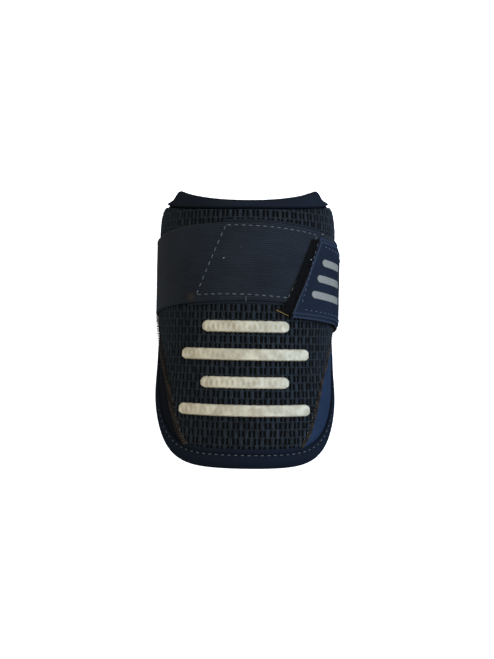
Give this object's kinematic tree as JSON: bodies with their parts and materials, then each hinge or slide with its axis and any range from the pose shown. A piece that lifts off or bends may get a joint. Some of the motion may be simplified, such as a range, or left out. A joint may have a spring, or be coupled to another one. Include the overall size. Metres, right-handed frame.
{
  "type": "baseball elbow guard",
  "caption": "Padded half-shell elbow guard for a batter, with a net-covered front, rolled hem, collar band and an elastic strap closed by a hook-and-loop pull tab.",
  "frame": {"origin": "middle of the footprint on the table, with the guard lying on the back of its strap, front face up", "axes": "+Z from the open back to the padded front, +Y along the arm to the collar end, +X across the guard to the pull tab's side"},
  "size_m": [0.1154, 0.1666, 0.0703],
  "materials": {
    "pad_lining": "matt padded fabric",
    "hem_fabric": "matt stretch fabric, rolled over foam",
    "collar_fabric": "matt stretch fabric, folded",
    "spacer_net": "open spacer net over a moulded cap",
    "side_fabric": "smooth stretch fabric, slight sheen",
    "bound_edge": "overlocked raw edge, worn brown",
    "elastic": "ribbed elastic webbing",
    "hook_patch": "hook-and-loop backing",
    "tab_fabric": "smooth tab fabric, stitched border",
    "moulded_bar": "moulded off-white rubber"
  },
  "bodies": {
    "root": {"liner_pad": "pad_lining", "hem_roll": "hem_fabric", "net_cover": "spacer_net", "collar_band": "collar_fabric", "net_edge_left": "bound_edge", "side_panel_left": "side_fabric", "net_edge_right": "bound_edge", "side_panel_right": "side_fabric", "strap_band": "elastic", "strap_backing": "hook_patch", "pull_tab": "tab_fabric", "tab_hook": "hook_patch", "badge_bar_1": "moulded_bar", "badge_bar_2": "moulded_bar", "badge_bar_3": "moulded_bar", "badge_bar_4": "moulded_bar"}
  },
  "joints": []
}
